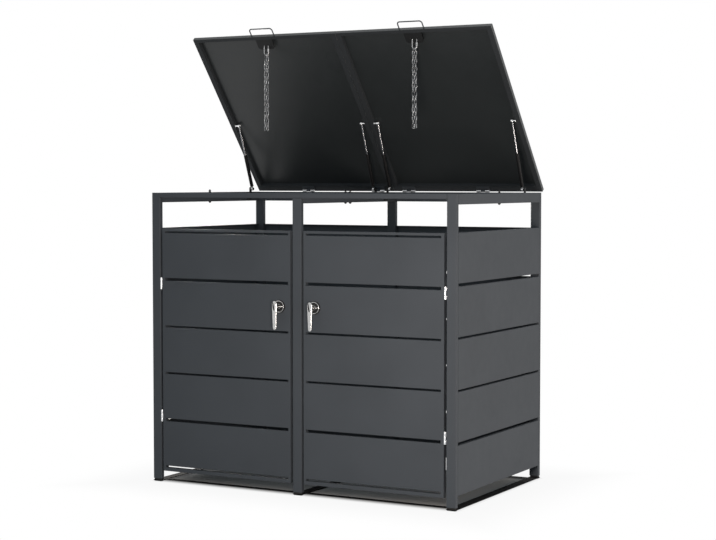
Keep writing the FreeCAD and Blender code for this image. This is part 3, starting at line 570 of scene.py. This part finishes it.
def door_hinges(side):
    """Knuckles, leaves and pins in the gap between a post and a door."""
    fixed, moving = bmesh.new(), bmesh.new()
    for height in DOOR_HINGE_HEIGHTS:
        base = Vector((DOOR_HINGE_X, FRONT, height))
        for span in DOOR_HINGE_ENDS:
            tall = (height + span[0], height + span[1])
            add_knuckle(fixed, base + Z_AXIS * span[0], Z_AXIS, span[1] - span[0])
            add_box(fixed, (POST_EDGE - LEAF, POST_EDGE), LEAF_DEPTH, tall)
            add_box(fixed, (645.5, POST_EDGE), LEAF_FACE, tall, 0.2)
            add_box(moving, (DOOR_EDGE, DOOR_EDGE + LEAF), LEAF_BEHIND_KNUCKLE, tall, 0.2)
        add_box(fixed, (POST_EDGE - LEAF, POST_EDGE), LEAF_BEHIND_KNUCKLE, (height - 8.3, height + 8.3), 0.2)
        add_pin(fixed, base - Z_AXIS * DOOR_HINGE_HALF, Z_AXIS, 2 * DOOR_HINGE_HALF)
        add_knuckle(moving, base - Z_AXIS * DOOR_KNUCKLE_HALF, Z_AXIS, 2 * DOOR_KNUCKLE_HALF)
        tall = (height - DOOR_KNUCKLE_HALF, height + DOOR_KNUCKLE_HALF)
        add_box(moving, (DOOR_EDGE, DOOR_EDGE + LEAF), LEAF_DEPTH, tall)
        add_box(moving, (DOOR_EDGE, 644.5), LEAF_FACE, tall, 0.2)
    for made in (fixed, moving):
        made.transform(mirrored(side))
    to_object("door_hinge_post_leaves_" + side, fixed, ZINC, "frame",
              ["door_hinge_fixed_" + side])
    to_object("door_hinge_door_leaves_" + side, moving, ZINC, "door_" + side,
              ["door_hinge_leaves_" + side])


def add_screw(target, head, axis, radius=3.4):
    """Countersunk screw head, sunk level with a leaf."""
    add_turned(target, head, axis, [(-1.2, 0.3), (-1.2, radius * 0.6), (0.0, radius), (0.12, radius - 0.2),
                                    (0.12, 0.3)], 20)


def add_recess(target, at):
    """Cross recess in a screw head, drawn as a thin near-black box on it: painted shade."""
    deep = (at.y, at.y + 0.2)
    for wide, tall in ((RECESS_LONG, RECESS_SHORT), (RECESS_SHORT, RECESS_LONG)):
        add_box(target, (at.x - wide, at.x + wide), deep, (at.z - tall, at.z + tall), 0.05)


def lid_hinges():
    """Two hinges a lid, with fixed leaves on the rear rail and the others under the lid's sheet."""
    fixed, recess_shade = bmesh.new(), bmesh.new()
    fixed_depth = (REAR, REAR + LEAF)
    for side in SIDES:
        moving = bmesh.new()
        for place in LID_HINGE_PLACES:
            middle = SIGN[side] * place
            whole = (middle - LID_HINGE_HALF, middle + LID_HINGE_HALF)
            centre = (middle - LID_KNUCKLE_HALF, middle + LID_KNUCKLE_HALF)
            for span in LID_HINGE_ENDS:
                wide = (middle + span[0], middle + span[1])
                add_knuckle(fixed, Vector((wide[0], LID_AXIS.y, LID_AXIS.z)), X_AXIS, span[1] - span[0])
                add_box(fixed, wide, fixed_depth, (FRAME_TOP, LID_AXIS.z - 3.0), 0.2)
            add_box(fixed, whole, fixed_depth, (RAIL_LEAF_FOOT, FRAME_TOP + 1.0))
            add_pin(fixed, Vector((whole[0], LID_AXIS.y, LID_AXIS.z)), X_AXIS, 2 * LID_HINGE_HALF)
            for offset in (-SCREW_OFFSET, SCREW_OFFSET):
                at = Vector((middle + offset, REAR + LEAF, SCREW_HEIGHT))
                add_screw(fixed, at, Y_AXIS)
                add_recess(recess_shade, at)
            add_knuckle(moving, Vector((centre[0], LID_AXIS.y, LID_AXIS.z)), X_AXIS, 2 * LID_KNUCKLE_HALF)
            add_box(moving, centre, LID_LEAF_TO_KNUCKLE, LID_LEAF, 0.3)
            for span in LID_LEAF_WINGS:
                add_box(moving, (middle + span[0], middle + span[1]), LID_LEAF_WING, LID_LEAF, 0.3)
        moving.transform(OPENED)
        to_object("lid_hinge_lid_leaves_" + side, moving, ANTHRACITE, "lid_" + side,
                  ["lid_hinge_leaves_" + side])
    to_object("lid_hinge_rail_leaves", fixed, ZINC, "frame", ["lid_hinge_fixed_leaves"])
    # Painted shade in the cross recesses of the rail leaves' screws.
    to_object("lid_hinge_screw_recess_painted_shade", recess_shade, PAINTED_SHADE_BLACK, "frame")


# Lever locks: profiles are distances from the slat's face, negative in front of it, and radii

LOCK_X = 80.0
LOCK_Z = 744.0
DISH = [(-4.8, 8.9), (-4.8, 13.0), (-3.8, 15.0), (-3.8, 24.6), (-3.0, 26.0), (0.0, 26.0), (0.0, 8.9)]
RIM = [(-3.8, 19.6), (-6.6, 20.2), (-7.9, 21.6), (-7.4, 23.2), (-3.8, 24.0)]
THROAT = [(-7.2, 5.2), (-7.2, 8.0), (-6.6, 8.9), (19.0, 8.9), (19.0, 5.2)]
LOCK_NUT = [(1.2, 8.9), (1.2, 14.0), (5.2, 14.0), (5.2, 8.9)]
BRIDGES = ((9.4, 19.9), (-19.9, -9.4))
SHAFT = [(-33, 7.4), (-30.6, 8.0), (-8.4, 8.0), (-8.4, 5.0), (27.5, 5.0), (27.5, 0.4)]

LEVER_TOP = 24.0
LEVER_LENGTH = 114.0
LEVER_STEPS = 44
LEVER_CORNERS = 28
LEVER_MIDDLE = -36.0
LEVER_HALF_DEPTH = 4.9
LEVER_DEPTH_LOST = 1.1
THIN_FROM = -20
THIN_OVER = 50
POINT_HALF_WIDTH = 4.2
POINT_SLOPE = 0.72
LEAST_HALF_WIDTH = 0.6
FULL_DEPTH_FROM = 8.0
DEPTH_POWER = 0.45
THIN_SETBACK = 0.6
SECTION_POWERS = (0.62, 0.8)
HEAD_RADIUS = 12.0
HEAD_CENTRE = 12.0
TIP_RADIUS_LOST = 4.0
TIP_DISTANCE = 94.0
WIDTH_STEPS = 80

# Outline of a thin near-black patch on the lever's head: painted shade where a facet of the head falls in
# shade.
HEAD_SHADE_OUTLINE = [(-7.4, 15.0), (-5.6, 18.0), (-3.4, 16.5), (-0.4, 2.0),
          (2.2, -12.0), (0.6, -14.5), (-2.8, -13.0), (-6.4, 0.0)]
HEAD_SHADE_MIDDLE = (-2.4, 2.5)
HEAD_SHADE_RINGS = ((-40.2, 1.0), (-40.9, 1.0), (-40.99, 0.94))


def lock_point(y, z=0.0):
    """Point on the right-hand lock's axis, or above it."""
    return Vector((LOCK_X, FRONT + y, LOCK_Z + z))


def rosette(side):
    """Bright raised ring on a dished plate coloured black as painted shade, with the lock's barrel and the
    nut behind the slat.
    """
    plate, ring, barrel = bmesh.new(), bmesh.new(), bmesh.new()
    add_turned(plate, lock_point(0), Y_AXIS, eased(DISH, 0.5, True), 64, True)
    add_turned(ring, lock_point(0), Y_AXIS, eased(RIM, 0.8, True), 64, True)
    add_turned(barrel, lock_point(0), Y_AXIS, eased(THROAT, 0.5, True), 40, True)
    add_turned(barrel, lock_point(0), Y_AXIS, eased(LOCK_NUT, 0.5, True), 6, True)
    for start, end in BRIDGES:
        add_box(ring, (LOCK_X + start, LOCK_X + end), (FRONT - 6.6, FRONT - 4.2),
                (LOCK_Z - 2.8, LOCK_Z + 2.8), 0.6)
    # The dished plates are coloured black: painted shade inside each bright ring and round its outer edge.
    finishes = (("plate", plate, BLACK_PLASTIC_AND_PAINTED_SHADE, "black_plastic"), ("ring", ring, LOCK_METAL, "lock_metal"),
                ("barrel", barrel, LOCK_METAL, "lock_metal"))
    for name, made, material, slot in finishes:
        made.transform(mirrored(side))
        to_object("rosette_%s_%s" % (name, side), made, material, "door_" + side,
                  ["lock_rosette_" + side])


def blade_half_width(z):
    """Half width of the lever at a height from the spindle: two circles and their tangents."""
    widest = 0.0
    for step in range(WIDTH_STEPS + 1):
        t = step / WIDTH_STEPS
        radius, centre = HEAD_RADIUS - TIP_RADIUS_LOST * t, HEAD_CENTRE - TIP_DISTANCE * t
        inside = radius ** 2 - (z - centre) ** 2
        if inside > 0:
            widest = max(widest, math.sqrt(inside))
    return widest


def lever_ring(z):
    """Crowned section of the lever at a height from the spindle; its head narrows to a point."""
    pointed = POINT_HALF_WIDTH + (LEVER_TOP - z) * POINT_SLOPE
    half = max(min(blade_half_width(z), pointed), LEAST_HALF_WIDTH)
    full = LEVER_HALF_DEPTH
    if z <= THIN_FROM:
        full = LEVER_HALF_DEPTH - LEVER_DEPTH_LOST * min(1.0, (THIN_FROM - z) / THIN_OVER)
    deep = full * min(1.0, (half / FULL_DEPTH_FROM) ** DEPTH_POWER)
    middle = LEVER_MIDDLE - THIN_SETBACK * (1 - deep / LEVER_HALF_DEPTH)
    ring = []
    for corner in range(LEVER_CORNERS):
        t = 2 * math.pi * corner / LEVER_CORNERS
        c, s = math.cos(t), math.sin(t)
        x = math.copysign(abs(c) ** SECTION_POWERS[0], c) * half
        y = math.copysign(abs(s) ** SECTION_POWERS[1], s) * deep
        ring.append(lock_point(middle + y, z) + X_AXIS * x)
    return ring


def lever(side):
    """Crowned, tapering lever on its stem, with a dark slanting patch on its head: painted shade."""
    made = bmesh.new()
    heights = [LEVER_TOP - LEVER_LENGTH * (0.5 - 0.5 * math.cos(math.pi * step / LEVER_STEPS))
               for step in range(LEVER_STEPS + 1)]
    add_rings(made, [lever_ring(z) for z in heights], False)
    add_turned(made, lock_point(0), Y_AXIS, [(-33, 0.4)] + eased(SHAFT, 0.5), 36)
    made.transform(mirrored(side))
    to_object("lever_handle_" + side, made, LOCK_METAL, "lever_" + side,
              ["lock_lever_" + side])
    head_shade = bmesh.new()
    middle_x, middle_z = HEAD_SHADE_MIDDLE
    rings = [[Vector((SIGN[side] * LOCK_X + middle_x + (x - middle_x) * share, FRONT + y,
                      LOCK_Z + middle_z + (z - middle_z) * share)) for x, z in HEAD_SHADE_OUTLINE]
             for y, share in HEAD_SHADE_RINGS]
    add_rings(head_shade, rings, False)
    to_object("lever_head_painted_shade_" + side, head_shade, PAINTED_SHADE_BLACK, "lever_" + side)


# Lid buffers: profiles are heights above the rail's underside and radii

BUFFER_XS = (-680.0, -11.0, 11.0, 680.0)
BUFFER_Y = 3.0
BUFFER_Z = 1150.0
DOME = [(46.0, 0.4), (46.0, 6.2), (47.2, 6.2), (50.0, 3.0), (51.6, 2.0), (51.6, 0.4)]
BOLT_RADIUS = 2.95
THREAD_ROOT = 2.6
BUFFER_THREADS = 3
LOWER_PITCH = 0.9
UPPER_PITCH = 0.7
RAIL_HEIGHT = 40.0
BUFFER_NUT_RADIUS = 5.5
BUFFER_NUT_HEIGHT = 4.0


def thread_profile():
    """Stud with a few turns of thread at both ends."""
    profile = [(-6.0, 0.3), (-6.0, 2.4)]
    for turn in range(BUFFER_THREADS):
        profile += [(-5.6 + turn * LOWER_PITCH, BOLT_RADIUS), (-5.15 + turn * LOWER_PITCH, THREAD_ROOT)]
    profile += [(-2.5, BOLT_RADIUS), (43.0, BOLT_RADIUS)]
    for turn in range(BUFFER_THREADS):
        profile += [(44.0 + turn * UPPER_PITCH, BOLT_RADIUS), (44.35 + turn * UPPER_PITCH, THREAD_ROOT)]
    return profile + [(47.0, 2.8), (47.0, 0.3)]


def buffers():
    """Rubber heads on threaded studs, each held by two nuts."""
    heads, studs = bmesh.new(), bmesh.new()
    for x in BUFFER_XS:
        foot = Vector((x, BUFFER_Y, BUFFER_Z))
        add_turned(heads, foot, Z_AXIS, eased(DOME, 0.9), 32)
        for start in (-BUFFER_NUT_HEIGHT, RAIL_HEIGHT):
            add_nut(studs, foot + Z_AXIS * start, Z_AXIS, BUFFER_NUT_RADIUS, BUFFER_NUT_HEIGHT)
        add_turned(studs, foot, Z_AXIS, thread_profile(), 24)
    to_object("buffer_rubber_heads", heads, RUBBER, "frame", ["lid_buffers"])
    to_object("buffer_studs_and_nuts", studs, BLACK_STEEL, "frame", ["lid_buffers"])


for name in SIDES:
    quick_link(name)
    chain(name)
    lift_handle(name)
    lid_studs(name)
    door_hinges(name)
    rosette(name)
    lever(name)
for name in STRUTS:
    strut(name)
lid_hinges()
buffers()


# Finishes of the solids that stay

FINISHES = {"lid_cover": LID_SHEET_PAINTED_SHADE, "lid_edge_frame": LID_EDGE_PAINTED_SHADE, "floor_runners": FLOOR_STEEL_PAINTED_SHADE,
            "floor_cross_strips": FLOOR_STEEL_PAINTED_SHADE, "levelling_feet": BLACK_PLASTIC_AND_PAINTED_SHADE,
            "strut_brackets": BLACK_STEEL, "hook_tab": BLACK_STEEL, "lock_cam": BLACK_STEEL}


def finish_of(name):
    """Finish of a solid by the start of its name; the rest is anthracite."""
    for stem, material in FINISHES.items():
        if name.startswith(stem):
            return material
    return ANTHRACITE


for name, solid in nodes.items():
    for place in solid.material_slots:
        place.material = finish_of(name)


# Floor, light and camera, in metres

STORE_HALF_WIDTH = 0.69
STORE_HALF_DEPTH = 0.41
WHITE_STEPS = ((-0.05, 0.02, 0.92), (0.02, 0.4, 0.08))
FLOOR_RADIUS = 30.0
FLOOR_CORNERS = 48
FLOOR_SEEN = grey(0.34)
FLOOR_BOUNCE = grey(0.12)
FILL_COLOUR = (0.85, 0.95, 1.0, 1.0)
FILL_LEVEL = 0.29
FILL_TOP = 0.95
LAMPS = (("overhead", (0.4, 0.2, 4.2), (0, 0, 0.6), 3.0, 12.0, (1.0, 1.0, 1.0)),
         ("right", (3.2, 0.3, 0.5), (0.6, 0.0, 0.9), 0.6, 30.5, (1.0, 0.86, 0.76)),
         ("front", (1.15, -2.1, 0.78), (0.35, -0.35, 1.0), 0.7, 35.0, (1.0, 0.90, 0.82)),
         ("rear", (-2.3, 2.7, 1.0), (-0.2, 0.3, 0.7), 0.8, 60.0, (1.0, 0.95, 0.9)))
SENSOR_WIDTH = 36.0
FOCAL_LENGTH = 85.32
EYE_PLACE = (3.3916, -6.1182, 1.2372)
EYE_RIGHT = Vector((0.87758, 0.47943, 0.0))
EYE_UP = Vector((-0.02506, 0.04588, 0.99864))
EYE_AHEAD = Vector((-0.47877, 0.87638, -0.05228))


def math_node(tree, operation, first, second):
    """One step of arithmetic on a socket and a socket or number."""
    made = tree.nodes.new("ShaderNodeMath")
    made.operation = operation
    tree.links.new(first, made.inputs[0])
    if isinstance(second, float):
        made.inputs[1].default_value = second
    else:
        tree.links.new(second, made.inputs[1])
    return made.outputs[0]


def outside(tree):
    """How white the floor is: nothing under the store, most just beside it, all further away."""
    place = tree.nodes.new("ShaderNodeNewGeometry")
    parts = tree.nodes.new("ShaderNodeSeparateXYZ")
    tree.links.new(place.outputs["Position"], parts.inputs[0])
    across = math_node(tree, "ABSOLUTE", parts.outputs["X"], 0.0)
    along = math_node(tree, "ABSOLUTE", parts.outputs["Y"], 0.0)
    away = math_node(tree, "MAXIMUM", math_node(tree, "SUBTRACT", across, STORE_HALF_WIDTH),
                     math_node(tree, "SUBTRACT", along, STORE_HALF_DEPTH))
    steps = []
    for start, end, share in WHITE_STEPS:
        step = add_node(tree, "ShaderNodeMapRange")
        step.interpolation_type = "SMOOTHSTEP"
        step.inputs["From Min"].default_value = start
        step.inputs["From Max"].default_value = end
        step.inputs["To Max"].default_value = share
        tree.links.new(away, step.inputs["Value"])
        steps.append(step.outputs["Result"])
    return math_node(tree, "ADD", steps[0], steps[1])


def looked_at(tree):
    """One where the eye, a mirroring or a clear surface looks, and nothing where light spreads."""
    path = tree.nodes.new("ShaderNodeLightPath").outputs
    looked = math_node(tree, "ADD", path["Is Camera Ray"], path["Is Glossy Ray"])
    looked = math_node(tree, "ADD", looked, path["Is Transmission Ray"])
    return math_node(tree, "MINIMUM", looked, 1.0)


def mixed(tree, factor, first, second):
    """Two shaders mixed by a factor."""
    made = tree.nodes.new("ShaderNodeMixShader")
    for socket, source in zip(made.inputs, (factor, first, second)):
        tree.links.new(source, socket)
    return made.outputs[0]


def floor():
    """Pale floor that keeps the store's shadow."""
    made = bmesh.new()
    turns = [2 * math.pi * corner / FLOOR_CORNERS for corner in range(FLOOR_CORNERS)]
    made.faces.new([made.verts.new((math.cos(t) * FLOOR_RADIUS, math.sin(t) * FLOOR_RADIUS, 0))
                    for t in turns])
    mesh = bpy.data.meshes.new("studio_floor")
    made.to_mesh(mesh)
    made.free()
    piece = bpy.data.objects.new("studio_floor", mesh)
    scene.collection.objects.link(piece)
    material = bpy.data.materials.new("studio_floor")
    material.use_nodes = True
    tree = material.node_tree
    tree.nodes.clear()
    output = tree.nodes.new("ShaderNodeOutputMaterial")
    seen = add_node(tree, "ShaderNodeBsdfDiffuse", Color=FLOOR_SEEN)
    bounce = add_node(tree, "ShaderNodeBsdfDiffuse", Color=FLOOR_BOUNCE)
    white = add_node(tree, "ShaderNodeEmission", Strength=1.0)
    lit = mixed(tree, outside(tree), seen.outputs[0], white.outputs[0])
    shown = mixed(tree, looked_at(tree), bounce.outputs[0], lit)
    tree.links.new(shown, output.inputs["Surface"])
    mesh.materials.append(material)


def sky():
    """White where it is looked at or mirrored; elsewhere an even light that grows towards the top."""
    world = bpy.data.worlds.new("studio")
    scene.world = world
    world.use_nodes = True
    tree = world.node_tree
    tree.nodes.clear()
    output = tree.nodes.new("ShaderNodeOutputWorld")
    white = add_node(tree, "ShaderNodeBackground", Color=grey(1.0), Strength=1.0)
    fill = add_node(tree, "ShaderNodeBackground", Color=FILL_COLOUR)
    way = tree.nodes.new("ShaderNodeTexCoord")
    parts = tree.nodes.new("ShaderNodeSeparateXYZ")
    tree.links.new(way.outputs["Generated"], parts.inputs[0])
    tree.links.new(spread(tree, parts.outputs["Z"], FILL_LEVEL, FILL_TOP), fill.inputs["Strength"])
    shown = mixed(tree, looked_at(tree), fill.outputs[0], white.outputs[0])
    tree.links.new(shown, output.inputs["Surface"])


def lamp(name, place, target, size, power, colour):
    """Round area lamp that faces a point."""
    data = bpy.data.lights.new(name, "AREA")
    data.shape = "DISK"
    data.size = size
    data.energy = power
    data.color = colour
    made = bpy.data.objects.new(name, data)
    scene.collection.objects.link(made)
    made.location = place
    made.rotation_mode = "QUATERNION"
    made.rotation_quaternion = (Vector(target) - Vector(place)).to_track_quat("-Z", "Y")


def camera():
    """The photograph's point of view."""
    data = bpy.data.cameras.new("camera")
    data.sensor_fit = "HORIZONTAL"
    data.sensor_width = SENSOR_WIDTH
    data.lens = FOCAL_LENGTH
    made = bpy.data.objects.new("camera", data)
    scene.collection.objects.link(made)
    turn = Matrix((EYE_RIGHT, EYE_UP, -EYE_AHEAD)).transposed()
    made.matrix_world = Matrix.Translation(EYE_PLACE) @ turn.to_4x4()
    scene.camera = made


floor()
sky()
for settings in LAMPS:
    lamp(*settings)
camera()
scene.view_settings.view_transform = "Standard"
